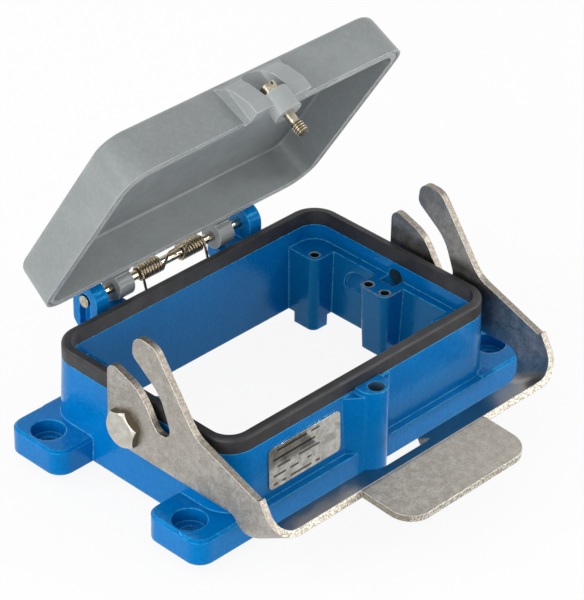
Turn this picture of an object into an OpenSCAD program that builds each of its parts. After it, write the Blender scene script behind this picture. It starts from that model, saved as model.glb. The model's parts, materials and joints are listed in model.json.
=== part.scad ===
// Bulkhead-mounting housing for two 24-pole rectangular connector inserts side by side,
// with a sprung hinged cover and a U-shaped locking lever.
// Origin: centre of the housing on its mounting plane. +X runs along the long side,
// +Y towards the cover hinge, +Z up. Millimetres.

/* [Housing] */
// Outer length of the housing wall at its rim
body_length = 130; // [124:1:150]
// Outer width of the housing wall at its rim
body_width = 88; // [84:1:100]
// Outer corner radius of the wall at its rim
body_corner = 10.7; // [9:0.1:12]
// Height of the wall rim above the mounting plane
wall_height = 33; // [32:0.5:36]
// Draft of the outer wall, widening at the base
wall_draft = 1.2; // [0.5:0.1:1.5]
// Wall thickness at the rim
rim_wall = 3.2; // [3:0.1:4]
// Extra thickness of the short walls below the shoulder
shoulder_step = 3.3; // [2.5:0.1:4]

/* [Feet] */
// Hole spacing of the feet along the long side
foot_pitch_x = 148; // [144:1:170]
// Hole spacing of the feet across the housing
foot_pitch_y = 70; // [66:1:80]
// Thickness of the feet
foot_height = 9.7; // [8:0.1:12]
// Radius of the foot screw hole
foot_hole_r = 3.3; // [2.6:0.1:3.4]
// Radius of the counterbore for the screw head
foot_bore_r = 6.1; // [5:0.1:6.5]
// Depth of the counterbore
foot_bore_depth = 5.2; // [4:0.1:6]
// Height of the ledge along the long walls
ledge_height = 9; // [7:0.1:9.5]
// How far the ledge stands out from the wall
ledge_depth = 3.8; // [3:0.1:4.5]

/* [Insert seats] */
// Screw spacing of an insert along the housing
insert_pitch_x = 104; // [103:0.5:105]
// Screw spacing of an insert across the housing
insert_pitch_y = 27; // [26:0.5:28]
// Distance between the two inserts' neighbouring screws
insert_gap = 8; // [7.5:0.5:8.5]
// Height of the insert seats
seat_height = 26.7; // [25:0.1:27.5]
// Radius of the insert screw holes
insert_hole_r = 1.65; // [1.4:0.05:1.9]
// Depth of the insert screw holes
insert_hole_depth = 14; // [8:1:18]
// How far the corner posts stand out below the mounting plane
post_depth = 4.5; // [3:0.5:5]

/* [Rim gasket] */
// Height of the gasket above the wall rim
gasket_height = 5.7; // [5:0.1:6]
// Width of the gasket tongue in the wall
tongue_w = 1.2; // [1:0.1:1.4]
// Depth of the gasket tongue
tongue_depth = 2; // [1.5:0.1:3]

/* [Cover] */
// Opening angle of the cover at rest, held there by its spring
cover_open = 57.5; // [40:0.5:75]
// Depth of the cover from its sealing rim to the roof
cover_depth = 17.2; // [15:0.1:20]
// Wall thickness of the cover at its rim
cover_wall = 3.4; // [3:0.1:3.6]
// Roof thickness of the cover
cover_roof = 2.5; // [2:0.1:3.2]
// Draft of the cover wall
cover_draft = 0.9; // [0.5:0.1:1.2]
// Rounding of the cover's roof edge
cover_round = 3; // [2:0.1:4]
// How far the cover stands past the housing wall all round
cover_overhang = 0.4; // [0:0.1:0.6]
// Offset of the cover's outside away from the hinge
cover_shift = 0.6; // [0.3:0.1:0.8]

/* [Cover screw] */
// Thread radius of the captive screw
screw_r = 1.95; // [1.8:0.05:2.2]
// Radius of the screw head
screw_head_r = 3; // [2.6:0.1:3.8]
// Height of the screw head
screw_head_h = 3.3; // [2.5:0.1:4]
// Length of the screw under its head
screw_length = 17.4; // [15:0.2:20]
// Distance of the screw axis from the housing wall
screw_offset = 4.7; // [4.4:0.1:5]
// Radius of the screw boss on the cover
screw_boss_r = 5.3; // [4.6:0.1:5.6]

/* [Hinge] */
// Distance of the hinge axis from the housing wall
hinge_offset = 8.8; // [8.5:0.1:10]
// Height of the hinge axis above the wall rim
hinge_rise = 5.5; // [5:0.1:6]
// Radius of the hinge pin
pin_r = 1.75; // [1.5:0.05:2]
// Radial running clearance of the hinge pin
pin_clearance = 0.06; // [0.03:0.01:0.1]
// Outer radius of the housing's hinge lugs
lug_r = 6.1; // [5.5:0.1:6.4]
// Distance of the lugs' inner faces from the middle
lug_start = 34.4; // [33:0.1:36]
// Length of a hinge lug
lug_length = 5.8; // [5:0.1:8]
// Radius of the cover's hinge knuckles
knuckle_r = 5; // [4:0.1:5.4]
// Distance of the knuckles' inner faces from the middle
knuckle_start = 20.9; // [19.5:0.1:22]
// Length of a knuckle
knuckle_length = 6.8; // [5:0.1:8]

/* [Cover spring] */
// Wire radius of the double torsion spring
wire_r = 0.5; // [0.35:0.05:0.5]
// Mean radius of its coils
coil_r = 2.6; // [2.5:0.05:2.8]
// Distance of each coil's inner end from the middle
coil_start = 5; // [4:0.5:6]
// Length of each coil
coil_length = 10; // [9:0.5:12]
// Turns in each coil
coil_turns = 8; // [6:1:9]

/* [Locking lever] */
// Sheet thickness of the lever
lever_sheet = 2.5; // [2:0.1:2.6]
// Gap between the housing's rim wall and a lever arm
lever_gap = 2.7; // [2.5:0.1:3.5]
// Inner bend radius between arm and web
lever_bend = 8.5; // [6:0.5:10]
// Tilt of the lever's web from the horizontal
web_tilt = 29.7; // [27:0.1:32]
// Width of the web
web_width = 16.2; // [14:0.1:17]
// Distance of the web from the pivot
web_reach = 42.9; // [42:0.1:46]
// Width of the handle tab
tab_width = 60.6; // [40:0.2:70]
// Length of the handle tab
tab_length = 21.5; // [15:0.5:26]
// Slope of the handle tab below the horizontal
tab_slope = 3; // [0:0.5:12]
// Width of the notch that clears the screw bosses
notch_width = 26; // [24:0.5:32]
// Depth of that notch
notch_depth = 8; // [7:0.5:9]
// Radius of the hook slot's bottom corners
slot_r = 3.6; // [3:0.1:3.8]

/* [Lever pivots] */
// Height of the lever's pivot axis
pivot_z = 27; // [26.8:0.1:27.5]
// Width across the flats of the bolt head
bolt_flats = 13; // [12:0.5:14]
// Height of the bolt head
bolt_head_h = 2.6; // [2.2:0.1:3.5]
// Radius of the shoulder that the lever turns on
shoulder_r = 5; // [4.6:0.1:5.4]
// Radius of the threaded end
thread_r = 3.3; // [3:0.05:4.2]
// Radial running clearance on the shoulder
pivot_clearance = 0.06; // [0.03:0.01:0.1]
// Thickness of the washer between housing and lever
washer_t = 0.9; // [0.6:0.1:1.2]
// Outer radius of that washer
washer_r = 7.5; // [7:0.1:8]

/* [Rating plate] */
// Length of the bare plate on the front wall
plate_length = 34; // [20:1:36]
// Height of the plate
plate_height = 16.4; // [10:0.2:18]
// Thickness of the plate
plate_t = 0.4; // [0.3:0.1:0.8]

/* [Hidden] */

fine = 96;
mid = 48;
eps = 0.01;
gap = 0.3;              // clearance between pieces that move past each other
seat = 0.05;            // clearance between pieces that sit in each other

half_x = body_length / 2;
half_y = body_width / 2;
core_x = half_x - body_corner;
core_y = half_y - body_corner;
inner_r = body_corner - rim_wall;
cavity_x = half_x - rim_wall;
cavity_y = half_y - rim_wall;
lower_x = cavity_x - shoulder_step;
edge_y = half_y + ledge_depth;

foot_x = foot_pitch_x / 2;
foot_y = foot_pitch_y / 2;
foot_margin = 7.8;      // foot edge beyond the hole along X
foot_inboard = 14;      // foot edge beyond the hole towards the middle
foot_corner = 6;
foot_bevel = 1;

seat_x = insert_pitch_x / 2;
seat_y1 = insert_gap / 2;
seat_y2 = seat_y1 + insert_pitch_y;
corner_post_r = 3.4;
corner_post_slope = 0.02;
double_post_r = 3;
double_post_slope = 0.05;
post_end_x = seat_x + 4.4;              // corner posts below the mounting plane
post_end_y = seat_y2 + 7;
recess_y = 14.5;
recess_z = 15.6;
recess_r = 7.4;
recess_floor = 14.6;
recess_depth = 1.1;
recess_tilt = 5;

gasket_top = wall_height + gasket_height;
gasket_round = 1.3;
tongue_in = (rim_wall - tongue_w) / 2;

panel_groove_w = 2.6;
panel_groove_depth = 1.8;
panel_ring_x = half_x - 1.3;
panel_ring_y = half_y + 1.2;
panel_ring_r = 8;

hinge_y = half_y + hinge_offset;
hinge_z = wall_height + hinge_rise;
cover_rim = gasket_top + gap - hinge_z;
cover_top = cover_rim + cover_depth;
cover_mid = hinge_y + cover_shift;      // distance from the hinge axis to the cover's middle
cover_trim = 0.4;                       // extra thickness of the cover's long walls
cover_corner = body_corner + cover_overhang;
rim_groove_w = 1;
rim_groove_depth = 0.5;
rim_groove_in = 1;

screw_y = -half_y - screw_offset;
screw_s = hinge_y - screw_y;            // distance of the screw axis from the hinge axis
boss_top = wall_height + 1;
boss_hole_r = 2.9;
boss_hole_depth = 13;
boss_r = 5.9;
boss_y = screw_y + 1.9;
boss_flare = 13;
column_bottom = boss_top + gap - hinge_z;
column_top = cover_rim + 3.6;
screw_seat = 0.2;
screw_neck = 12.5;                      // plain part of the screw under its head
screw_flange_r = 3.7;
screw_flange_h = 0.6;
pad_half = 12.8;
pad_end = pad_half + 2.5;
pad_front = 6.4;                        // how far the pad stands past the cover's front wall
pad_drop = 0.9;                         // how far it stands below the sealing rim
pocket_r = 5.3;
reach = 20;                             // length of cuts that run out into the open

lug_end = lug_start + lug_length;
lug_inner = 23;
lug_shelf = wall_height - 0.5;
pin_head_r = 2.25;
pin_head_l = 3.4;
lug_foot = wall_height - 19;
shelf_foot = wall_height - 15;
pin_slot_w = 5.6;
pin_slot_depth = 3;

pivot_boss_r = wall_height - pivot_z;
pivot_hole_in = lower_x - 1.5;
arm_in = half_x + lever_gap;
arm_out = arm_in + lever_sheet;
pivot_face = arm_in - washer_t - 0.1;
head_face = arm_out + 0.15;
bolt_end = cavity_x + 0.6;
web_back = 40.9;                        // web edges measured from the pivot, along the web
web_front = web_back + web_width;
tab_bend = 1.5;
tab_fold = web_tilt + tab_slope;
tab_corner = 9;
notch_corner = 3;
strap_start = web_reach - lever_bend - 6;

plate_x = -30;
plate_z = 20.5;
plate_corner = 2;

blue = [0.02, 0.38, 0.72];
grey = [0.50, 0.52, 0.53];
black = [0.10, 0.10, 0.11];
steel = [0.72, 0.71, 0.68];
silver = [0.80, 0.79, 0.76];

// ---------- outlines and solids shared by the pieces ----------

module rounded(x, y, r) {
    square([2 * (x - r), 2 * y], center = true);
    square([2 * x, 2 * (y - r)], center = true);
    for (i = [-1, 1], j = [-1, 1])
        translate([i * (x - r), j * (y - r)]) circle(r, $fn = fine);
}

// A rounded box whose side profile, drawn as [outward, up], is the same all round.
module profiled_box(x, y, bottom, top) {
    for (i = [-1, 1], j = [-1, 1])
        translate([i * x, j * y, 0]) rotate_extrude($fn = fine) children();
    for (i = [0, 1]) {
        mirror([i, 0, 0]) translate([x, y, 0]) rotate([90, 0, 0]) linear_extrude(2 * y) children();
        mirror([0, i, 0]) rotate([0, 0, 90]) translate([y, x, 0]) rotate([90, 0, 0])
            linear_extrude(2 * x) children();
    }
    translate([-x, -y, bottom]) cube([2 * x, 2 * y, top - bottom]);
}

module both_ends() {
    for (i = [0, 1]) mirror([i, 0, 0]) children();
}

module along_x(x0, x1, r, sides = mid) {
    translate([x0, 0, 0]) rotate([0, 90, 0]) cylinder(h = x1 - x0, r = r, $fn = sides);
}

// Points of a polygon whose corner k, given as [x, y, radius], is rounded by an arc.
function unit(v) = v / norm(v);
function corner_arc(a, b, c) =
    let (p = [b[0], b[1]], u = unit([a[0] - b[0], a[1] - b[1]]), v = unit([c[0] - b[0], c[1] - b[1]]),
         half = acos(max(-1, min(1, u * v))) / 2, reach = b[2] / tan(half),
         centre = p + unit(u + v) * b[2] / sin(half), s = p + u * reach, e = p + v * reach,
         a0 = atan2(s[1] - centre[1], s[0] - centre[0]),
         sweep = ((atan2(e[1] - centre[1], e[0] - centre[0]) - a0 + 540) % 360) - 180,
         steps = max(2, ceil(abs(sweep) / 9)))
    b[2] == 0 ? [p] : [for (k = [0:steps])
        centre + b[2] * [cos(a0 + sweep * k / steps), sin(a0 + sweep * k / steps)]];
function rounded_outline(v) = [for (k = [0:len(v) - 1])
    each corner_arc(v[(k + len(v) - 1) % len(v)], v[k], v[(k + 1) % len(v)])];

// ---------- housing ----------

module wall_solid() {
    profiled_box(core_x, core_y, 0, wall_height)
        polygon([[0, 0], [body_corner + wall_draft, 0], [body_corner, wall_height], [0, wall_height]]);
}

module foot_outline() {
    x0 = half_x - 8;
    x1 = foot_x + foot_margin;
    y0 = foot_y - foot_inboard;
    polygon(rounded_outline([
        [x0, y0, 0], [x1, y0, foot_corner], [x1, edge_y, foot_corner], [x0, edge_y, 0]]));
}

module feet() {
    for (i = [0, 1], j = [0, 1]) mirror([i, 0, 0]) mirror([0, j, 0]) {
        linear_extrude(foot_height - foot_bevel) foot_outline();
        // the bevel round the foot's top edge
        translate([0, 0, foot_height - foot_bevel - eps]) hull() {
            linear_extrude(eps) foot_outline();
            translate([half_x - 8, foot_y - foot_inboard + foot_bevel, foot_bevel])
                linear_extrude(eps) polygon(rounded_outline([
                    [0, 0, 0],
                    [foot_x + foot_margin - half_x + 8 - foot_bevel, 0, foot_corner - foot_bevel],
                    [foot_x + foot_margin - half_x + 8 - foot_bevel,
                     edge_y - foot_y + foot_inboard - 2 * foot_bevel, foot_corner - foot_bevel],
                    [0, edge_y - foot_y + foot_inboard - 2 * foot_bevel, 0]]));
        }
    }
}

module foot_holes() {
    for (i = [-1, 1], j = [-1, 1]) translate([i * foot_x, j * foot_y, 0]) {
        translate([0, 0, -1]) cylinder(h = foot_height + 2, r = foot_hole_r, $fn = mid);
        translate([0, 0, foot_height - foot_bore_depth])
            cylinder(h = foot_bore_depth + 1, r = foot_bore_r, $fn = mid);
    }
}

module ledges() {
    for (j = [-1, 1]) translate([0, j * (half_y + ledge_depth / 2 - 2), ledge_height / 2])
        cube([2 * half_x, ledge_depth + 4, ledge_height], center = true);
}

module screw_boss() {
    translate([0, boss_y, 0]) intersection() {
        cylinder(h = boss_top, r = boss_r, $fn = mid);
        translate([-reach, -reach, 0]) cube([2 * reach, reach - half_y - gap - boss_y, boss_top]);
    }
    linear_extrude(wall_height - 1) polygon([
        [-boss_flare, -half_y + 1], [boss_flare, -half_y + 1],
        [boss_r * 0.92, boss_y - boss_r * 0.38], [-boss_r * 0.92, boss_y - boss_r * 0.38]]);
    translate([-boss_r, boss_y, 0]) cube([2 * boss_r, -half_y - boss_y + 1, wall_height]);
    translate([-boss_r, boss_y, 0]) cube([2 * boss_r, -half_y - gap - boss_y, boss_top]);
}

module lug_profile() {
    back = hinge_y + lug_r;
    polygon(rounded_outline([
        [half_y - 1, lug_foot, 0], [half_y + 1, lug_foot, 0],
        [back, hinge_z - 9.5, 3], [back, hinge_z, 0], [hinge_y - lug_r, hinge_z, 0],
        [hinge_y - lug_r, lug_shelf, 1.5], [half_y - 1, lug_shelf, 0]]));
}

module shelf_profile() {
    back = hinge_y + lug_r - 2;
    polygon([
        [half_y - 1, shelf_foot], [half_y + 1, shelf_foot],
        [back, lug_shelf - 4], [back, lug_shelf], [half_y - 1, lug_shelf]]);
}

module hinge_lugs() {
    both_ends() {
        translate([lug_start, 0, 0]) rotate([90, 0, 90]) linear_extrude(lug_length) lug_profile();
        translate([lug_inner, 0, 0]) rotate([90, 0, 90])
            linear_extrude(lug_start - lug_inner + 1) shelf_profile();
        translate([0, hinge_y, hinge_z]) along_x(lug_start, lug_end, lug_r, fine);
    }
}

// A post round the screw hole at x, y, tapering downwards; its flat sides run on to x1 and y1.
module post_core(x, y, r, slope, z0) {
    rise = seat_height - z0;
    translate([x, y, z0]) cylinder(h = rise, r1 = r - slope * rise, r2 = r, $fn = mid);
}

module post_sides(x, y, r, slope, x1, y1, z0, z1) {
    r0 = r - slope * (seat_height - z0);
    r1 = r - slope * (seat_height - z1);
    translate([0, y1, 0]) rotate([90, 0, 0]) linear_extrude(y1 - y)
        polygon([[x - r0, z0], [x1, z0], [x1, z1], [x - r1, z1]]);
    translate([x, 0, 0]) rotate([90, 0, 90]) linear_extrude(x1 - x)
        polygon([[y - r0, z0], [y1, z0], [y1, z1], [y - r1, z1]]);
}

module insert_seats() {
    r = corner_post_r;
    k = corner_post_slope;
    d = double_post_slope;
    for (i = [0, 1], j = [0, 1]) mirror([i, 0, 0]) mirror([0, j, 0]) {
        post_core(seat_x, seat_y2, r, k, -post_depth);
        post_sides(seat_x, seat_y2, r, k, lower_x + 1, cavity_y + 1, 0, seat_height);
        post_sides(seat_x, seat_y2, r, k, post_end_x, post_end_y, -post_depth, 1);
        post_core(seat_x, -seat_y1, double_post_r, d, 0);
        post_sides(seat_x, -seat_y1, double_post_r, d, lower_x + 1, eps, 0, seat_height);
    }
}

// A shallow recess in each short wall, beside the double post on the hinge side.
module wall_recesses() {
    both_ends() intersection() {
        translate([lower_x, recess_y, recess_z]) rotate([0, recess_tilt, 0])
            along_x(-3, recess_depth, recess_r);
        translate([lower_x - 3, recess_y - reach, recess_floor]) cube([reach, 2 * reach, reach]);
    }
}

module insert_holes() {
    for (i = [-1, 1], j = [-1, 1], y = [seat_y1, seat_y2])
        translate([i * seat_x, j * y, seat_height - insert_hole_depth])
            cylinder(h = insert_hole_depth + 1, r = insert_hole_r, $fn = mid);
}

module housing() {
    color(blue) difference() {
        union() {
            difference() {
                union() {
                    wall_solid();
                    ledges();
                    screw_boss();
                    hinge_lugs();
                    both_ends() translate([0, 0, pivot_z])
                        along_x(half_x - 2, pivot_face, pivot_boss_r, fine);
                }
                translate([0, 0, -1]) linear_extrude(wall_height + 2) rounded(lower_x, cavity_y, inner_r);
                translate([0, 0, seat_height]) linear_extrude(wall_height)
                    rounded(cavity_x, cavity_y, inner_r);
                wall_recesses();
            }
            difference() {
                feet();
                translate([0, 0, -1]) linear_extrude(wall_height)
                    rounded(lower_x + 1, cavity_y + 1, inner_r);
            }
            insert_seats();
        }
        foot_holes();
        insert_holes();
        both_ends() translate([0, 0, pivot_z]) along_x(pivot_hole_in, pivot_face + 1, thread_r + seat);
        translate([0, hinge_y, hinge_z]) along_x(-lug_end - 1, lug_end + 1, pin_r + pin_clearance);
        translate([-lug_end - 1, hinge_y, hinge_z]) {
            along_x(0, pin_slot_depth + 1, pin_slot_w / 2);
            translate([0, -pin_slot_w / 2, -reach]) cube([pin_slot_depth + 1, pin_slot_w, reach]);
        }
        translate([0, screw_y, boss_top - boss_hole_depth])
            cylinder(h = boss_hole_depth + 1, r = boss_hole_r, $fn = mid);
        // groove for the gasket's tongue
        translate([0, 0, wall_height - tongue_depth - seat]) linear_extrude(tongue_depth + 1)
            ring(tongue_in - seat, tongue_w + 2 * seat);
        // groove for the panel gasket
        translate([0, 0, -1]) linear_extrude(panel_groove_depth + 1) panel_ring(seat);
    }
}

// A ring that follows the rim wall: its outer edge lies inset inside the wall's outer face.
module ring(inset, width) {
    difference() {
        rounded(half_x - inset, half_y - inset, body_corner - inset);
        rounded(half_x - inset - width, half_y - inset - width, body_corner - inset - width);
    }
}

module panel_ring(slack) {
    difference() {
        rounded(panel_ring_x + slack, panel_ring_y + slack, panel_ring_r + slack);
        rounded(panel_ring_x - panel_groove_w - slack, panel_ring_y - panel_groove_w - slack,
                panel_ring_r - panel_groove_w - slack);
    }
}

// ---------- gaskets ----------

module rim_gasket() {
    color(black) {
        difference() {
            profiled_box(core_x, core_y, wall_height, gasket_top) polygon(concat(
                [[0, wall_height], [body_corner, wall_height]],
                [for (a = [0:15:90]) [body_corner - gasket_round * (1 - cos(a)),
                                      gasket_top - gasket_round * (1 - sin(a))]],
                [[0, gasket_top]]));
            translate([0, 0, wall_height - 1]) linear_extrude(gasket_height + 2)
                rounded(cavity_x, cavity_y, inner_r);
        }
        translate([0, 0, wall_height - tongue_depth]) linear_extrude(tongue_depth + eps)
            ring(tongue_in, tongue_w);
    }
}

module panel_gasket() {
    color(black) linear_extrude(panel_groove_depth - seat) panel_ring(0);
}

// ---------- cover ----------

// Places the cover's pieces, drawn closed with the hinge axis at the origin.
module cover_pose() {
    translate([0, hinge_y, hinge_z]) rotate([-cover_open, 0, 0]) children();
}

module cover_shell() {
    straight = cover_top - cover_round;
    inset = cover_draft + cover_round;
    roof_in = cover_top - cover_roof;
    side = cover_corner - rim_groove_in;
    difference() {
        translate([0, -cover_mid, 0]) profiled_box(core_x, core_y, cover_rim, cover_top) polygon(concat(
            [[0, cover_rim], [cover_corner, cover_rim]],
            [for (a = [0:15:90]) [cover_corner - inset + cover_round * cos(a),
                                  straight + cover_round * sin(a)]],
            [[0, cover_top]]));
        translate([0, -hinge_y, 0]) profiled_box(core_x, core_y - cover_trim, cover_rim - 1, roof_in)
            polygon(concat(
            [[0, cover_rim - 1], [cover_corner - cover_wall, cover_rim - 1],
             [cover_corner - cover_wall, cover_rim]],
            [for (a = [0:30:90]) [cover_corner - cover_wall - cover_draft - 1 + cos(a),
                                  roof_in - 1 + sin(a)]],
            [[0, roof_in]]));
        // bead groove round the sealing rim
        translate([0, -cover_mid, cover_rim - 1]) linear_extrude(1 + rim_groove_depth) difference() {
            rounded(core_x + side, core_y + side, side);
            rounded(core_x + side - rim_groove_w, core_y + side - rim_groove_w, side - rim_groove_w);
        }
    }
}

// Side of the pad on the front wall that carries the captive screw, drawn as [front, up].
module pad_profile(wall) {
    polygon([
        [wall - 0.5, cover_rim - pad_drop], [wall + pad_front, cover_rim - pad_drop],
        [wall + pad_front, column_top], [wall + 0.55 * pad_front, column_top + 6.8],
        [wall + 0.16 * pad_front, cover_top - 3.6], [wall - 0.9, cover_top - 1.8],
        [wall - 3, cover_top - 1.8], [wall - 3, cover_rim + 1], [wall - 0.5, cover_rim + 1]]);
}

module screw_pad() {
    wall = half_y + cover_overhang;
    toe = wall - 1;
    translate([0, -cover_mid, 0]) mirror([0, 1, 0]) intersection() {
        translate([-pad_end, 0, 0]) rotate([90, 0, 90]) linear_extrude(2 * pad_end) pad_profile(wall);
        translate([0, 0, cover_rim - pad_drop - 1]) linear_extrude(cover_depth + 2) polygon([
            [-pad_end, wall - 4], [pad_end, wall - 4], [pad_end, toe], [pad_half, toe + pad_end - pad_half],
            [pad_half, wall + pad_front + 1], [-pad_half, wall + pad_front + 1],
            [-pad_half, toe + pad_end - pad_half], [-pad_end, toe]]);
    }
    // the screw's column; below the rim it keeps clear of the gasket
    translate([0, -screw_s, column_bottom]) intersection() {
        cylinder(h = column_top - column_bottom, r = screw_boss_r, $fn = mid);
        translate([-reach, -reach, 0]) cube([2 * reach, reach + screw_s - hinge_y - half_y - gap, reach]);
    }
}

module knuckles() {
    both_ends() {
        along_x(knuckle_start, knuckle_start + knuckle_length, knuckle_r, fine);
        translate([knuckle_start, -hinge_offset - 2, cover_rim + 0.5])
            cube([knuckle_length, hinge_offset + 2, knuckle_r - cover_rim - 0.5]);
    }
}

module cover() {
    color(grey) cover_pose() difference() {
        union() {
            cover_shell();
            screw_pad();
            knuckles();
        }
        along_x(-half_x, half_x, pin_r + pin_clearance);
        translate([0, -screw_s, column_bottom - 1])
            cylinder(h = column_top - column_bottom + 2, r = screw_r + 0.08, $fn = mid);
        // pocket for the screw head, open to the front
        translate([0, -screw_s, column_top]) {
            cylinder(h = cover_depth, r = pocket_r, $fn = mid);
            translate([-pocket_r, -reach, 0]) cube([2 * pocket_r, reach, cover_depth]);
        }
    }
}

module cover_screw() {
    head = column_top + screw_seat;
    chamfer = 0.6;
    color(steel) cover_pose() translate([0, -screw_s, 0]) difference() {
        union() {
            translate([0, 0, head]) cylinder(h = screw_flange_h, r = screw_flange_r, $fn = mid);
            translate([0, 0, head]) cylinder(h = screw_head_h, r = screw_head_r, $fn = mid);
            translate([0, 0, head - screw_neck - 1])
                cylinder(h = screw_neck + 1 + eps, r = screw_r - 0.15, $fn = mid);
            translate([0, 0, head - screw_length + chamfer])
                cylinder(h = screw_length - screw_neck - chamfer, r = screw_r, $fn = mid);
            translate([0, 0, head - screw_length])
                cylinder(h = chamfer, r1 = screw_r - chamfer, r2 = screw_r, $fn = mid);
        }
        translate([-0.5, -screw_head_r - 1, head + screw_head_h - 1.3]) cube([1, 2 * screw_head_r + 2, 2]);
    }
}

// ---------- hinge ----------

module hinge_pin() {
    color(steel) translate([0, hinge_y, hinge_z]) {
        along_x(-lug_end + 0.5, lug_end - 0.5, pin_r);
        along_x(-lug_end - 0.5, -lug_end - 0.5 + pin_head_l, pin_head_r);
    }
}

// Wire centre line of one half of the spring, from the middle of its bridge to its leg's end.
// The bridge lies by the lower edge of the cover's hinge wall, and the legs press on the housing's wall.
leg_lean = 17.5;                        // lean of the legs from the vertical, towards the wall
bridge_s = hinge_offset + cover_shift - cover_overhang - wire_r - gap;
bridge_h = cover_rim - 1.1;
ring_steps = 12;
bridge_at = bridge_point(bridge_s, bridge_h);
start_angle = atan2(bridge_at[1], bridge_at[0]) + acos(coil_r / norm(bridge_at));
leg_angle = 180 - leg_lean;
total_turn = 360 * (coil_turns - 1) + (leg_angle - start_angle + 720) % 360;
wall_slope = wall_draft / wall_height;
leg_reach = (hinge_offset - coil_r * cos(leg_lean) - wire_r - seat
             - wall_slope * (wall_height - hinge_z - coil_r * sin(leg_lean)))
            / (sin(leg_lean) + wall_slope * cos(leg_lean));

function bridge_point(s, h) = [-s * cos(cover_open) + h * sin(cover_open),
                               s * sin(cover_open) + h * cos(cover_open)];
function coil_point(k, n) =
    let (a = start_angle + total_turn * k / n)
    [coil_start + coil_length * k / n, coil_r * cos(a), coil_r * sin(a)];
function half_spring() =
    let (n = coil_turns * ring_steps, first = coil_point(0, n), b = bridge_at, last = coil_point(n, n))
    concat(
        [[0, b[0], b[1]], [coil_start - 1.3, b[0], b[1]],
         [coil_start - 0.4, b[0] + 0.15 * (first[1] - b[0]), b[1] + 0.15 * (first[2] - b[1])]],
        [for (k = [0:n]) coil_point(k, n)],
        [[last[0], last[1] - leg_reach * sin(leg_lean), last[2] - leg_reach * cos(leg_lean)]]);

// A tube swept along points, with its rings turned to the path.
module tube(path, r, sides = 8) {
    n = len(path);
    tangent = [for (k = [0:n - 1]) unit(path[min(k + 1, n - 1)] - path[max(k - 1, 0)])];
    points = [for (k = [0:n - 1])
        let (t = tangent[k], u = unit(cross(t, abs(t[0]) > 0.9 ? [0, 1, 0.3] : [1, 0, 0])), v = cross(t, u))
        for (j = [0:sides - 1]) path[k] + r * (cos(360 * j / sides) * u + sin(360 * j / sides) * v)];
    faces = concat(
        [[for (j = [0:sides - 1]) sides - 1 - j]],
        [for (k = [0:n - 2], j = [0:sides - 1]) let (m = (j + 1) % sides)
            each [[k * sides + j, k * sides + m, (k + 1) * sides + m],
                  [k * sides + j, (k + 1) * sides + m, (k + 1) * sides + j]]],
        [[for (j = [0:sides - 1]) (n - 1) * sides + j]]);
    polyhedron(points, faces, convexity = 10);
}

module cover_spring() {
    h = half_spring();
    left = [for (k = [len(h) - 1:-1:1]) [-h[k][0], h[k][1], h[k][2]]];
    color(steel) translate([0, hinge_y, hinge_z])
        tube(concat(left, [for (k = [1:len(h) - 1]) h[k]]), wire_r);
}

// ---------- locking lever ----------

// Side outline of an arm as [y, z] from the pivot, each with its corner radius.
function arm_corners() =
    let (w = [-cos(web_tilt), sin(web_tilt)], t = [-sin(web_tilt), -cos(web_tilt)],
         low = -8.2, rear = 8.6, join = web_reach - lever_bend,
         back = w * web_back + t * join, front = w * web_front + t * join,
         kink = [back[0] + t[0] * (low - back[1]) / t[1], low],
         rise = 0.4,
         brow = front - t * 4.2)
    [[rear, low, 8.4], [rear - 0.3, 23.6, 3.4], [-7.2, 18.4, 14], [-15.4, 5.8, slot_r], [-23.4, 5.8, slot_r],
     [-17.4, 21.7, 16], [-4, 31.4, 3.5], [-5, 39.6, 4.4], [-14.6, 39.4, 6.5], [-33.7, 13, 12],
     [brow[0], brow[1], 4.5], [front[0], front[1], 0], [back[0], back[1], 0], [kink[0], kink[1], 3.5]];

// Frame of the folded strap: y runs along the web's width and z away from the pivot.
module strap_frame() {
    translate([0, 0, pivot_z]) rotate([180 - web_tilt, 0, 0]) children();
}

module strap_section() {
    r_out = lever_bend + lever_sheet;
    flat = arm_in - lever_bend;
    difference() {
        union() {
            translate([-flat, 0]) square([2 * flat, web_reach + lever_sheet]);
            for (i = [-1, 1]) translate([i * flat, web_reach - lever_bend]) circle(r_out, $fn = fine);
            translate([-arm_out, strap_start]) square([2 * arm_out, web_reach - lever_bend - strap_start]);
        }
        translate([-arm_in, -1]) square([2 * arm_in, web_reach - lever_bend + 1]);
        translate([-flat, -1]) square([2 * flat, web_reach + 1]);
        for (i = [-1, 1]) translate([i * flat, web_reach - lever_bend]) circle(lever_bend, $fn = fine);
        translate([-2 * arm_out, -1]) square([4 * arm_out, strap_start + 1]);
    }
}

module tab() {
    outer = tab_bend + lever_sheet;
    half = tab_width / 2;
    translate([0, web_front - 1, web_reach + outer]) {
        rotate([tab_fold, 0, 0]) translate([0, 0, -outer]) linear_extrude(lever_sheet)
            polygon(rounded_outline([
            [-half, 0, 0], [half, 0, 0], [half, tab_length, tab_corner], [-half, tab_length, tab_corner]]));
        // the fold between web and tab
        translate([-half, 0, 0]) rotate([0, 90, 0]) rotate_extrude(angle = tab_fold, $fn = mid)
            translate([tab_bend, 0]) square([lever_sheet, tab_width]);
    }
}

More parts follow.
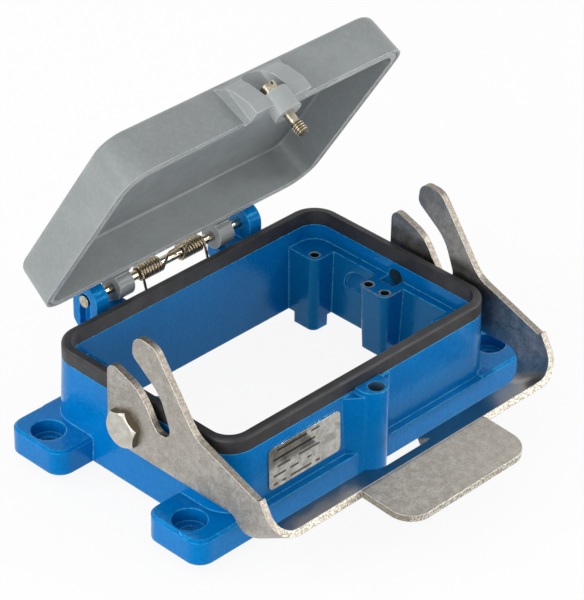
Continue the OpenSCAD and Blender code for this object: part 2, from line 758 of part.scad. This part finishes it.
module locking_lever() {
    color(steel) difference() {
        union() {
            both_ends() translate([arm_in, 0, pivot_z]) rotate([90, 0, 90])
                linear_extrude(lever_sheet) polygon(rounded_outline(arm_corners()));
            strap_frame() {
                translate([0, web_front, 0]) rotate([90, 0, 0]) linear_extrude(web_width) strap_section();
                tab();
            }
        }
        strap_frame() translate([0, web_back - 1, web_reach - 1]) linear_extrude(lever_sheet + 2)
            polygon(rounded_outline([
                [-notch_width / 2, 0, 0], [notch_width / 2, 0, 0],
                [notch_width / 2, notch_depth + 1, notch_corner],
                [-notch_width / 2, notch_depth + 1, notch_corner]]));
        translate([0, 0, pivot_z]) along_x(-arm_out - 1, arm_out + 1, shoulder_r + pivot_clearance, fine);
    }
}

module pivot_bolt() {
    color(steel) translate([0, 0, pivot_z]) {
        along_x(bolt_end, pivot_face + eps, thread_r);
        along_x(pivot_face, head_face + eps, shoulder_r, fine);
        intersection() {
            translate([head_face, 0, 0]) rotate([0, 90, 0]) rotate([0, 0, 12])
                cylinder(h = bolt_head_h, r = bolt_flats / sqrt(3), $fn = 6);
            translate([head_face, 0, 0]) rotate([0, 90, 0])
                cylinder(h = bolt_head_h, r1 = bolt_flats / 2 + bolt_head_h,
                         r2 = bolt_flats / 2 - 0.2, $fn = fine);
        }
    }
}

module lever_washer() {
    color(steel) translate([0, 0, pivot_z]) difference() {
        along_x(pivot_face, pivot_face + washer_t, washer_r, fine);
        along_x(pivot_face - 1, arm_in, shoulder_r + seat, fine);
    }
}

module left_pivot_bolt() {
    mirror([1, 0, 0]) pivot_bolt();
}

module right_pivot_bolt() {
    pivot_bolt();
}

module left_lever_washer() {
    mirror([1, 0, 0]) lever_washer();
}

module right_lever_washer() {
    lever_washer();
}

// ---------- rating plate ----------

module rating_plate() {
    draft = atan(wall_draft / wall_height);
    color(silver) translate([plate_x, -half_y - wall_draft * (1 - plate_z / wall_height) - seat, plate_z])
        rotate([90 - draft, 0, 0]) linear_extrude(plate_t)
            rounded(plate_length / 2, plate_height / 2, plate_corner);
}

housing();
rim_gasket();
panel_gasket();
cover();
cover_screw();
hinge_pin();
cover_spring();
locking_lever();
left_pivot_bolt();
right_pivot_bolt();
left_lever_washer();
right_lever_washer();
rating_plate();
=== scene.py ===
import json
import math
import bmesh
import bpy
from mathutils import Matrix, Vector


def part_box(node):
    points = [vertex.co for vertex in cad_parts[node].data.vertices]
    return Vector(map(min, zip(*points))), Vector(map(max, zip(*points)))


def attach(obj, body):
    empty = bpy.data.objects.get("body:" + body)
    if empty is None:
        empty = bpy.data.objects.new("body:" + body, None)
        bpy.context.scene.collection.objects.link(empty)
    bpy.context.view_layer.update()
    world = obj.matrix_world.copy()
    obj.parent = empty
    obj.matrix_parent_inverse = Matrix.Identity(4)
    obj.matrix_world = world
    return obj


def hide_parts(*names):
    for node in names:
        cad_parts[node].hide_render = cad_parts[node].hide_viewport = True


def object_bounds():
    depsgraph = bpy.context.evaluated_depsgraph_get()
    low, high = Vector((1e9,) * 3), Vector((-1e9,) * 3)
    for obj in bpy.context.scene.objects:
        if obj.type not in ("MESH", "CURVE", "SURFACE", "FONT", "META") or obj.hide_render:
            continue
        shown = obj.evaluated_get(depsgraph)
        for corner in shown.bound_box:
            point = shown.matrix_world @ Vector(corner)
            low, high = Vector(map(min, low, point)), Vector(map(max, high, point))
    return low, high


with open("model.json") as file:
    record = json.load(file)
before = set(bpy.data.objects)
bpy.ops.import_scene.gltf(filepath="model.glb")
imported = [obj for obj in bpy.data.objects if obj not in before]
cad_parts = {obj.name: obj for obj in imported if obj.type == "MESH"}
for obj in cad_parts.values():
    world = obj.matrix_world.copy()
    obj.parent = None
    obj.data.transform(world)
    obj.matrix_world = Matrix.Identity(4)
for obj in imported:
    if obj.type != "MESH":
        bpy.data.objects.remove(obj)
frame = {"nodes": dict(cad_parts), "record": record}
cad_low, cad_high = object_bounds()
nodes = frame["nodes"]

# ---------- camera: the photograph's viewpoint ----------
AZIMUTH, ELEVATION, ROLL = (math.radians(v) for v in (-45.82, 33.48, 0.98))
CAMERA_AT = Vector((0.00672, 0.03807, 1.0988))      # right, up and back from the origin, in camera axes
FOCAL_PX = 3122.8
FRAME_PX = 600
SENSOR_MM = 36
CLIP_END = 20

back = Vector((math.sin(AZIMUTH) * math.cos(ELEVATION), -math.cos(AZIMUTH) * math.cos(ELEVATION),
               math.sin(ELEVATION)))
level = Vector((math.cos(AZIMUTH), math.sin(AZIMUTH), 0))
upright = back.cross(level)
right = math.cos(ROLL) * level + math.sin(ROLL) * upright
up = -math.sin(ROLL) * level + math.cos(ROLL) * upright
turn = Matrix((right, up, back)).transposed()
lens = bpy.data.cameras.new("camera")
lens.sensor_width = SENSOR_MM
lens.lens = FOCAL_PX * SENSOR_MM / FRAME_PX
lens.clip_end = CLIP_END
camera = bpy.data.objects.new("camera", lens)
camera.matrix_world = Matrix.Translation(turn @ CAMERA_AT) @ turn.to_4x4()
bpy.context.scene.collection.objects.link(camera)
bpy.context.scene.camera = camera

# ---------- sizes of the part, in metres, that the materials and added pieces go by ----------
OPEN = math.radians(57.5)                               # the cover's angle at rest
HINGE = Vector((0.0, 0.0528, 0.0385))
OUT = Vector((0.0, -math.cos(OPEN), math.sin(OPEN)))    # along the cover, away from its hinge
OVER = Vector((0.0, math.sin(OPEN), math.cos(OPEN)))    # square to the cover, outwards
PAD_HALF, PAD_FROM = 0.0129, 0.0982                     # the screw's pad: half its width, its start along OUT
CAVITY_END = 0.0655
SEAT_Z = 0.0267
HOLE_X, HOLE_Y, HOLE_STEP = 0.052, 0.0175, 0.0135       # insert holes lie at Y +-(HOLE_Y +- HOLE_STEP)
HOLE_R, HOLE_RIM_R, HOLE_END = 0.0018, 0.0026, 0.008
POST_X, POST_Y = 0.0575, 0.0082                         # how far out the middle posts reach
BOSS_HOLE_Y, BOSS_HOLE_R = -0.0487, 0.00296
WEB_TILT = math.radians(29.7)
ARM_IN = 0.0677
TAB_HALF = 0.0315
BOLT_IN = 0.066                                         # the pivot bolts' inner ends lie nearer the middle
SCREW_OUT = 0.1015
THREAD_TOP, SCREW_TIP = -0.0084, -0.0131                # along OVER, from the screw's place on the cover
screw_at = HINGE + OUT * SCREW_OUT

X_AXIS, Y_AXIS, Z_AXIS = (1.0, 0.0, 0.0), (0.0, 1.0, 0.0), (0.0, 0.0, 1.0)
BEVEL_SAMPLES = 6


# ---------- node helpers ----------
class Tree:
    """A short way to write shader nodes: every method but put returns an output socket."""

    def __init__(self, owner):
        owner.use_nodes = True
        self.tree = owner.node_tree

    def put(self, value, socket):
        if isinstance(value, bpy.types.NodeSocket):
            self.tree.links.new(value, socket)
        else:
            socket.default_value = value

    def node(self, kind, output=0, props=(), **inputs):
        """A new node. An input goes by its name, or by i and its place among the enabled ones."""
        n = self.tree.nodes.new("ShaderNode" + kind)
        for key, value in dict(props).items():
            setattr(n, key, value)
        for key, value in inputs.items():
            if key[0] == "i" and key[1:].isdigit():
                self.put(value, [s for s in n.inputs if s.enabled][int(key[1:])])
            else:
                self.put(value, n.inputs[key.replace("_", " ")])
        return n.outputs[output]

    def math(self, operation, *values):
        inputs = {f"i{k}": value for k, value in enumerate(values)}
        return self.node("Math", props={"operation": operation}, **inputs)

    def times(self, first, *others):
        """A product. Masks are combined by it too."""
        for other in others:
            first = self.math("MULTIPLY", first, other)
        return first

    def between(self, value, low, high):
        return self.times(self.math("GREATER_THAN", value, low), self.math("LESS_THAN", value, high))

    def distance(self, a, b):
        return self.math("SQRT", self.math("ADD", self.times(a, a), self.times(b, b)))

    def dot(self, a, b):
        return self.node("VectorMath", output=1, props={"operation": "DOT_PRODUCT"}, i0=a, i1=b)

    def place(self):
        return self.node("TexCoord", output=3)

    def along(self, axis):
        """How far a point lies along an axis."""
        return self.dot(self.place(), axis)

    def facing(self, axis):
        """How far the surface faces along an axis: 1 towards it, -1 away."""
        return self.dot(self.node("TexCoord", output=1), axis)

    def noise(self, scale, detail=3.0, rough=0.5, distortion=0.0):
        return self.node("TexNoise", Vector=self.place(), Scale=scale, Detail=detail, Roughness=rough,
                         Distortion=distortion)

    def ramp(self, value, low, high, to_low=0.0, to_high=1.0, smooth=True):
        return self.node("MapRange", props={"interpolation_type": "SMOOTHSTEP" if smooth else "LINEAR"},
                         Value=value, From_Min=low, From_Max=high, To_Min=to_low, To_Max=to_high)

    def mix(self, factor, a, b):
        n = self.tree.nodes.new("ShaderNodeMix")
        n.data_type = "RGBA"
        for value, socket in ((factor, n.inputs[0]), (a, n.inputs[6]), (b, n.inputs[7])):
            self.put(value, socket)
        return n.outputs[2]

    def bump(self, height, distance, strength, normal):
        return self.node("Bump", Height=height, Distance=distance, Strength=strength, Normal=normal)

    def shown(self):
        """1 for rays that show the background: the camera's own, and those off metal or through glass."""
        path = self.tree.nodes.new("ShaderNodeLightPath")
        glossy = self.math("MAXIMUM", path.outputs["Is Glossy Ray"], path.outputs["Is Transmission Ray"])
        return self.math("MAXIMUM", path.outputs["Is Camera Ray"], glossy)


def rgb(*levels):
    """A linear colour from its 8-bit values, by the sRGB curve."""
    shares = [v / 255 for v in levels]
    return tuple(v / 12.92 if v < 0.04045 else ((v + 0.055) / 1.055) ** 2.4 for v in shares) + (1.0,)


def material(name, edge_radius, **fixed):
    """A new material, its tree, its shader, a normal with rounded edges, and a mask of the edges."""
    m = bpy.data.materials.new(name)
    t = Tree(m)
    shader = t.tree.nodes["Principled BSDF"]
    for key, value in fixed.items():
        shader.inputs[key.replace("_", " ")].default_value = value
    soft = t.node("Bevel", props={"samples": BEVEL_SAMPLES}, Radius=edge_radius)
    flat = t.node("NewGeometry", output=1)
    edge = t.math("SUBTRACT", 1.0, t.dot(soft, flat))
    return m, t, shader, soft, edge


def wire(t, shader, **links):
    for key, socket in links.items():
        t.tree.links.new(socket, shader.inputs[key.replace("_", " ")])


# ---------- materials ----------
def blue_paint():
    """Glossy blue paint on a casting, with a faint orange peel, edges paler from wear and painted highlight,
    and painted shade low in the cavity.
    """
    m, t, s, soft, edge = material("blue_paint", 0.0009, IOR=1.5, Specular_IOR_Level=0.36,
                                   Specular_Tint=(0.03, 0.7, 1.0, 1.0))
    x, y, z = (t.along(axis) for axis in (X_AXIS, Y_AXIS, Z_AXIS))
    across, aside = t.math("ABSOLUTE", x), t.math("ABSOLUTE", y)
    broad = t.noise(26.0, 2.0)
    peel = t.noise(760.0, 2.0, 0.5)
    cast = t.noise(170.0, 3.0, 0.6)
    crest = t.mix(t.ramp(broad, 0.35, 0.65), rgb(0, 103, 170), rgb(0, 111, 182))
    dip = t.mix(t.ramp(broad, 0.3, 0.7), rgb(0, 97, 163), rgb(0, 104, 174))
    colour = t.mix(t.ramp(peel, 0.35, 0.65), crest, dip)
    # painted shade: the paint is darkened low on the cavity's end walls, where x and the normal's x have
    # opposite signs
    inward = t.math("LESS_THAN", t.times(x, t.facing(X_AXIS)), -0.02)
    low_down = t.ramp(z, SEAT_Z + 0.004, SEAT_Z)
    cavity_shade = t.times(inward, low_down, t.math("LESS_THAN", across, CAVITY_END))
    colour = t.mix(t.times(cavity_shade, 0.5), colour, rgb(4, 82, 118))
    # paler edges: partly worn paint, partly a painted highlight
    wear_and_highlight = t.times(t.ramp(edge, 0.02, 0.12), t.ramp(t.noise(420.0, 4.0, 0.65), 0.25, 0.6))
    colour = t.mix(t.times(wear_and_highlight, 0.7), colour, rgb(84, 182, 232))
    # insert holes: dark bores with pale rims, and pale spots on the middle posts' top edges
    off_x = t.math("SUBTRACT", across, HOLE_X)
    off_y = t.math("SUBTRACT", t.math("ABSOLUTE", t.math("SUBTRACT", aside, HOLE_Y)), HOLE_STEP)
    away = t.distance(off_x, off_y)
    bore = t.times(t.math("LESS_THAN", away, HOLE_R), t.between(z, HOLE_END, SEAT_Z - 0.0002))
    middle = t.times(t.math("LESS_THAN", aside, POST_Y), t.math("LESS_THAN", across, POST_X))
    spots = t.math("MAXIMUM", t.times(middle, t.ramp(edge, 0.01, 0.08)), t.ramp(away, HOLE_RIM_R, HOLE_R))
    at_seat = t.between(z, SEAT_Z - 0.0012, SEAT_Z + 0.0004)
    spots = t.times(spots, at_seat, t.ramp(t.noise(800.0, 4.0, 0.7), 0.4, 0.55))
    colour = t.mix(t.times(spots, 0.9), colour, rgb(158, 160, 142))
    colour = t.mix(bore, colour, rgb(34, 34, 34))
    boss_away = t.distance(x, t.math("SUBTRACT", y, BOSS_HOLE_Y))
    colour = t.mix(t.math("LESS_THAN", boss_away, BOSS_HOLE_R), colour, rgb(62, 88, 112))
    rough = t.ramp(cast, 0.3, 0.7, 0.13, 0.22)
    normal = t.bump(cast, 0.0003, 0.4, t.bump(peel, 0.00018, 0.6, soft))
    wire(t, s, Base_Color=colour, Roughness=rough, Normal=normal)
    return m


def grey_paint():
    """Satin grey paint on the cover, paler on its edges from wear and painted highlight, and with painted
    light on the screw's pad.
    """
    m, t, s, soft, edge = material("grey_paint", 0.0006, IOR=1.5)
    broad = t.noise(24.0, 4.0, 0.6, distortion=0.6)
    fine = t.noise(620.0, 3.0, 0.6)
    streak = t.noise(130.0, 2.0, 0.5)
    colour = t.mix(t.ramp(broad, 0.36, 0.64), rgb(125, 130, 131), rgb(134, 139, 139))
    colour = t.mix(t.ramp(streak, 0.35, 0.65, 0.0, 0.3), colour, rgb(118, 122, 123))
    colour = t.mix(t.ramp(fine, 0.4, 0.75, 0.0, 0.35), colour, rgb(146, 150, 150))
    # painted light: the screw's pad is painted paler, as if it caught more light
    across = t.math("ABSOLUTE", t.along(X_AXIS))
    past = t.math("GREATER_THAN", t.along(tuple(OUT)), OUT.dot(HINGE) + PAD_FROM)
    pad = t.times(t.math("LESS_THAN", across, PAD_HALF), past)
    colour = t.mix(t.times(pad, 0.5), colour, rgb(164, 168, 168))
    # paler edges: partly worn paint, partly a painted highlight
    wear_and_highlight = t.times(t.ramp(edge, 0.015, 0.12), t.ramp(t.noise(240.0, 4.0, 0.65), 0.25, 0.55, 0.35, 1.0))
    colour = t.mix(t.times(wear_and_highlight, 0.85), colour, rgb(202, 206, 205))
    rough = t.ramp(streak, 0.3, 0.7, 0.29, 0.4)
    normal = t.bump(t.noise(900.0, 1.0, 0.5), 0.00003, 0.4, soft)
    wire(t, s, Base_Color=colour, Roughness=rough, Normal=normal)
    return m


def gasket_rubber():
    """Dull black rubber with a little dust, and a painted sheen along its edges."""
    m, t, s, soft, edge = material("gasket_rubber", 0.0004, IOR=1.5, Specular_IOR_Level=0.4)
    dust = t.noise(180.0, 5.0, 0.65)
    colour = t.mix(t.ramp(dust, 0.4, 0.75, 0.0, 0.6), rgb(38, 38, 40), rgb(58, 58, 60))
    # painted sheen: paler along the rounded edges
    colour = t.mix(t.ramp(edge, 0.05, 0.3, 0.0, 0.5), colour, rgb(82, 82, 84))
    rough = t.ramp(t.noise(120.0, 4.0, 0.6), 0.3, 0.7, 0.38, 0.56)
    normal = t.bump(t.noise(2200.0, 2.0, 0.5), 0.00002, 0.5, soft)
    wire(t, s, Base_Color=colour, Roughness=rough, Normal=normal)
    return m


def lever_steel():
    """Blotchy sheet steel, with cut edges, painted highlights along its rounded edges, and a smoother face
    inside the web that is darkened as painted shade.
    """
    m, t, s, soft, edge = material("lever_steel", 0.00045, Metallic=1.0)
    sideways = t.math("ABSOLUTE", t.facing(X_AXIS))
    forward = t.math("ABSOLUTE", t.facing((0.0, -math.cos(WEB_TILT), math.sin(WEB_TILT))))
    across = t.math("ABSOLUTE", t.along(X_AXIS))
    # a cut edge of an arm doesn't face sideways, one of the web faces along it, one of the tab faces sideways
    on_arm = t.math("GREATER_THAN", across, ARM_IN)
    off_arm = t.math("SUBTRACT", 1.0, on_arm)
    arm_cut = t.times(on_arm, t.math("LESS_THAN", sideways, 0.5))
    web_cut = t.times(off_arm, t.math("GREATER_THAN", forward, 0.6))
    tab_cut = t.times(t.math("LESS_THAN", across, TAB_HALF), t.math("GREATER_THAN", sideways, 0.6))
    cut = t.math("MAXIMUM", t.math("MAXIMUM", arm_cut, web_cut), tab_cut)
    # small warm and cool blotches
    blotch = t.noise(290.0, 5.0, 0.62, distortion=0.3)
    specks = t.noise(1100.0, 3.0, 0.6)
    broad = t.noise(32.0, 3.0, 0.55)
    colour = t.mix(t.ramp(blotch, 0.34, 0.66), rgb(162, 158, 150), rgb(188, 185, 179))
    colour = t.mix(t.ramp(specks, 0.42, 0.68, 0.0, 0.6), colour, rgb(142, 135, 125))
    colour = t.mix(t.ramp(broad, 0.4, 0.65, 0.0, 0.3), colour, rgb(180, 173, 162))
    # cut edges: brownish on the arms and the tab, speckled and bright along the web
    tear = t.noise(1500.0, 4.0, 0.65)
    torn = t.mix(t.ramp(tear, 0.44, 0.58), rgb(150, 142, 128), rgb(214, 209, 198))
    plain = t.mix(t.ramp(specks, 0.4, 0.65), rgb(138, 130, 119), rgb(166, 159, 148))
    colour = t.mix(cut, colour, plain)
    colour = t.mix(web_cut, colour, torn)
    # painted highlight: near white along the rounded edges
    colour = t.mix(t.ramp(edge, 0.05, 0.25, 0.0, 0.75), colour, rgb(232, 229, 222))
    # the web's inner face: smoother, and darker there as painted shade
    web_up = t.facing((0.0, math.sin(WEB_TILT), math.cos(WEB_TILT)))
    smooth = t.times(t.math("GREATER_THAN", web_up, 0.95), off_arm)
    colour = t.mix(t.times(smooth, 0.55), colour, rgb(128, 126, 124))
    rough = t.math("ADD", t.ramp(blotch, 0.35, 0.68, 0.4, 0.46), t.times(web_cut, 0.1))
    rough = t.math("SUBTRACT", rough, t.times(smooth, 0.12))
    height = t.math("ADD", t.noise(520.0, 4.0, 0.6), t.times(tear, web_cut, 1.5))
    wire(t, s, Base_Color=colour, Roughness=rough, Normal=t.bump(height, 0.00004, 0.5, soft))
    return m


def bright_steel(name, light, dark, low, high, scale, bolt=False, thread=False):
    """Plain fastener steel: its two tints, its least and most roughness, and the scale of its stains."""
    m, t, s, soft, edge = material(name, 0.0002, Metallic=1.0)
    stain = t.noise(scale, 4.0, 0.62)
    colour = t.mix(t.ramp(stain, 0.35, 0.65), dark, light)
    if bolt:        # painted shade darkens the hexagon's flats, and the bolts' inner ends are darker too
        sideways = t.math("ABSOLUTE", t.facing(X_AXIS))
        colour = t.mix(t.ramp(sideways, 0.75, 0.3), colour, rgb(116, 104, 88))
        inner = t.math("LESS_THAN", t.math("ABSOLUTE", t.along(X_AXIS)), BOLT_IN)
        colour = t.mix(inner, colour, rgb(146, 138, 116))
    if thread:      # the cover screw's threaded end is darker
        below = t.math("LESS_THAN", t.along(tuple(OVER)), OVER.dot(screw_at) + THREAD_TOP)
        colour = t.mix(below, colour, rgb(84, 78, 66))
    # painted highlight: paler along the rounded edges
    colour = t.mix(t.ramp(edge, 0.05, 0.3, 0.0, 0.5), colour, rgb(240, 236, 226))
    rough = t.ramp(t.noise(scale * 2.1, 3.0, 0.6), 0.3, 0.7, low, high)
    wire(t, s, Base_Color=colour, Roughness=rough, Normal=t.bump(stain, 0.00003, 0.4, soft))
    return m


def plate_silver():
    """A silver foil plate with rows of plain dark bars in place of words."""
    rows, columns, last_column = 5.0, 17.0, 12.0
    bar_low, bar_high, margin, gap_share = 0.36, 0.62, 0.04, 0.22
    m, t, s, soft, edge = material("plate_silver", 0.00015, Metallic=0.9)
    low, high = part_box("rating_plate")
    x = t.ramp(t.along(X_AXIS), low.x, high.x, smooth=False)
    z = t.ramp(t.along(Z_AXIS), low.z, high.z, smooth=False)
    stain = t.noise(300.0, 4.0, 0.6)
    colour = t.mix(t.ramp(stain, 0.35, 0.65), rgb(150, 147, 140), rgb(186, 184, 178))
    row = t.times(z, rows)
    bar = t.between(t.math("MODULO", row, 1.0), bar_low, bar_high)
    steps = t.node("CombineXYZ", i0=t.times(x, columns), i1=row, i2=0.0)
    cell = t.node("VectorMath", props={"operation": "FLOOR"}, i0=steps)
    draw = t.node("TexWhiteNoise", props={"noise_dimensions": "3D"}, Vector=cell)
    inside = t.times(t.between(x, 1 / columns, last_column / columns), t.between(z, margin, 1 - margin))
    ink = t.times(bar, t.math("GREATER_THAN", draw, gap_share), inside)
    colour = t.mix(t.times(ink, 0.85), colour, rgb(40, 38, 36))
    rough = t.ramp(stain, 0.3, 0.7, 0.07, 0.12)
    wire(t, s, Base_Color=colour, Roughness=rough, Normal=t.bump(t.noise(55.0, 1.0), 0.002, 0.5, soft))
    return m


MATERIALS = {
    "blue_paint": blue_paint(),
    "grey_paint": grey_paint(),
    "gasket_rubber": gasket_rubber(),
    "lever_steel": lever_steel(),
    "fastener_steel": bright_steel("fastener_steel", rgb(202, 194, 176), rgb(170, 160, 138), 0.2, 0.26,
                                   330.0),
    "spring_steel": bright_steel("spring_steel", rgb(178, 166, 142), rgb(124, 111, 90), 0.29, 0.36, 900.0),
    "screw_steel": bright_steel("screw_steel", rgb(196, 188, 170), rgb(150, 140, 120), 0.29, 0.36, 500.0,
                                thread=True),
    "bolt_steel": bright_steel("bolt_steel", rgb(208, 205, 197), rgb(188, 183, 172), 0.29, 0.38, 260.0,
                               bolt=True),
    "plate_silver": plate_silver(),
}
OWN = {"cover_screw": "screw_steel", "left_pivot_bolt": "bolt_steel", "right_pivot_bolt": "bolt_steel"}
for part in frame["record"]["subparts"]:
    mesh = nodes[part["node"]].data
    mesh.materials.clear()
    mesh.materials.append(MATERIALS[OWN.get(part["node"], part["material_slot"])])

# ---------- floor, background and light ----------
FLOOR_SIZE, FLOOR_GAP, FLOOR_GREY = 8, 0.0002, 0.86
FLOOR_WHITE = 0.9                                       # the rest of the shown floor keeps the object's shadow
WORLD_LEVEL, WORLD_ABOVE, WORLD_LEFT = 0.45, 0.3, 0.35  # strength all round, and what is added on two sides
bpy.ops.mesh.primitive_plane_add(size=FLOOR_SIZE, location=(0, 0, cad_low.z - FLOOR_GAP))
floor = bpy.context.object
floor.name = "floor"
paper = bpy.data.materials.new("floor")
t = Tree(paper)
shader = t.tree.nodes["Principled BSDF"]
shader.inputs["Base Color"].default_value = (FLOOR_GREY, FLOOR_GREY, FLOOR_GREY, 1)
shader.inputs["Roughness"].default_value = 0.7
shader.inputs["Specular IOR Level"].default_value = 0.1
glow = t.node("Emission", Color=(1, 1, 1, 1), Strength=1.0)
shade = t.node("MixShader", Fac=t.times(t.shown(), FLOOR_WHITE), i1=shader.outputs[0], i2=glow)
t.tree.links.new(shade, t.tree.nodes["Material Output"].inputs[0])
floor.data.materials.append(paper)

# the world lights the part a little more from overhead and from the left, and shows as white
world = bpy.data.worlds.new("world")
bpy.context.scene.world = world
t = Tree(world)
direction = t.node("TexCoord", output=0)
overhead = t.ramp(t.dot(direction, Z_AXIS), 0.0, 0.7, 0.0, WORLD_ABOVE)
leftward = t.ramp(t.dot(direction, (-1.0, 0.0, 0.0)), 0.2, 1.0, 0.0, WORLD_LEFT)
strength = t.math("ADD", WORLD_LEVEL, t.math("ADD", overhead, leftward))
strength = t.node("Mix", i0=t.shown(), i1=strength, i2=1.0)
background = t.tree.nodes["Background"]
background.inputs[0].default_value = (1, 1, 1, 1)
t.tree.links.new(strength, background.inputs[1])


def softbox(name, at, aim, size, watts):
    data = bpy.data.lights.new(name, "AREA")
    data.shape = "RECTANGLE"
    data.size, data.size_y = size
    data.energy = watts
    lamp = bpy.data.objects.new(name, data)
    lamp.location = at
    lamp.rotation_euler = (Vector(aim) - Vector(at)).to_track_quat("-Z", "Y").to_euler()
    bpy.context.scene.collection.objects.link(lamp)


softbox("key", (-1.15, -0.25, 0.34), (0, 0, 0.03), (0.9, 0.6), 8.0)
softbox("front", (0.8, -0.95, 0.12), (0, 0, 0.02), (1.4, 0.3), 6.5)
softbox("rim_left", (-0.66, 0.62, 0.72), (0, 0, 0.03), (0.16, 0.16), 1.6)
softbox("rim_right", (0.7, -0.62, 0.7), (0, 0, 0.03), (0.16, 0.16), 1.6)
bpy.context.scene.view_settings.view_transform = "Standard"


# ---------- pieces added here ----------
def skin(name, rings, smooth):
    """A closed mesh over a row of rings, each a list of as many points."""
    bm = bmesh.new()
    rows = [[bm.verts.new(point) for point in ring] for ring in rings]
    for a, b in zip(rows, rows[1:]):
        for j in range(len(a)):
            k = (j + 1) % len(a)
            bm.faces.new((a[j], a[k], b[k], b[j]))
    bm.faces.new(rows[0][::-1])
    bm.faces.new(rows[-1])
    bmesh.ops.recalc_face_normals(bm, faces=bm.faces)
    for face in bm.faces:
        face.smooth = smooth and len(face.verts) == 4
    mesh = bpy.data.meshes.new(name)
    bm.to_mesh(mesh)
    bm.free()
    piece = bpy.data.objects.new(name, mesh)
    bpy.context.scene.collection.objects.link(piece)
    return piece


def thread_rings(start, axis, length, root, crest, pitch, steps):
    """A V-shaped ridge wound round an axis, fading out over a sixth of its length at each end."""
    axis = axis.normalized()
    side = axis.orthogonal().normalized()
    other = axis.cross(side)
    turns = length / pitch
    count = int(turns * steps)
    rings = []
    for k in range(count + 1):
        angle = 2 * math.pi * turns * k / count
        fade = min(1.0, 6.0 * min(k, count - k) / count)
        out = math.cos(angle) * side + math.sin(angle) * other
        centre = start + axis * (length * k / count)
        top = root + (crest - root) * fade
        # each point's radius, and its place along the axis as a share of the pitch
        profile = ((root, -0.42), (top, -0.06), (top, 0.06), (root, 0.42), (root * 0.9, 0.0))
        rings.append([centre + out * r + axis * (pitch * rise) for r, rise in profile])
    return rings


def wire_rings(path, radius, sides):
    """A round wire along a path of points."""
    rings = []
    side = None
    for k, point in enumerate(path):
        ahead = (path[min(k + 1, len(path) - 1)] - path[max(k - 1, 0)]).normalized()
        side = ahead.orthogonal() if side is None else side - ahead * side.dot(ahead)
        side.normalize()
        other = ahead.cross(side)
        rings.append([point + radius * (math.cos(a) * side + math.sin(a) * other)
                      for a in (2 * math.pi * j / sides for j in range(sides))])
    return rings


# the thread on the cover screw's end
THREAD_PITCH, THREAD_ROOT, THREAD_CREST, THREAD_STEPS = 0.0009, 0.00188, 0.00226, 24
THREAD_FROM, THREAD_LENGTH = SCREW_TIP + 0.0005, THREAD_TOP - SCREW_TIP - 0.0004
ridge = thread_rings(screw_at + OVER * THREAD_FROM, OVER, THREAD_LENGTH, THREAD_ROOT, THREAD_CREST,
                     THREAD_PITCH, THREAD_STEPS)
thread = skin("cover_screw_thread", ridge, smooth=False)
thread.data.materials.append(MATERIALS["fastener_steel"])
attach(thread, "cover_screw_body")

# the cover's double torsion spring: two coils on the pin, a bridge by the cover's wall, and two legs
WIRE_R, WIRE_SIDES = 0.0005, 14
COIL_R, COIL_START, COIL_LENGTH, COIL_TURNS, COIL_STEPS = 0.0026, 0.005, 0.010, 8, 28
BRIDGE_OUT, BRIDGE_OVER = 0.0082, -0.0006
LEG_LEAN, LEG_REACH = math.radians(17.5), 0.01788
# each bend between bridge and coil: how far in from the coil's start, and the share of the way to it
BENDS = ((0.0008, 0.0), (0.0004, 0.12), (0.0002, 0.9))
bridge = OUT * BRIDGE_OUT + OVER * BRIDGE_OVER
first_angle = math.atan2(bridge.z, bridge.y) + math.acos(COIL_R / bridge.length)
part_turn = (math.pi - LEG_LEAN - first_angle + 4 * math.pi) % (2 * math.pi)
last_angle = first_angle + 2 * math.pi * (COIL_TURNS - 1) + part_turn
count = COIL_TURNS * COIL_STEPS
coil = []
for k in range(count + 1):
    angle = first_angle + (last_angle - first_angle) * k / count
    coil.append(Vector((COIL_START + COIL_LENGTH * k / count,
                        COIL_R * math.cos(angle), COIL_R * math.sin(angle))))
leg = coil[-1] - LEG_REACH * Vector((0, math.sin(LEG_LEAN), math.cos(LEG_LEAN)))
bends = [Vector((COIL_START - inwards, bridge.y, bridge.z)).lerp(coil[0], share) for inwards, share in BENDS]
half = bends + coil + [leg]
path = [Vector((-v.x, v.y, v.z)) + HINGE for v in reversed(half)] + [v + HINGE for v in half]
spring = skin("hinge_spring", wire_rings(path, WIRE_R, WIRE_SIDES), smooth=True)
spring.data.materials.append(MATERIALS["spring_steel"])
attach(spring, "housing_body")
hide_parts("cover_spring")
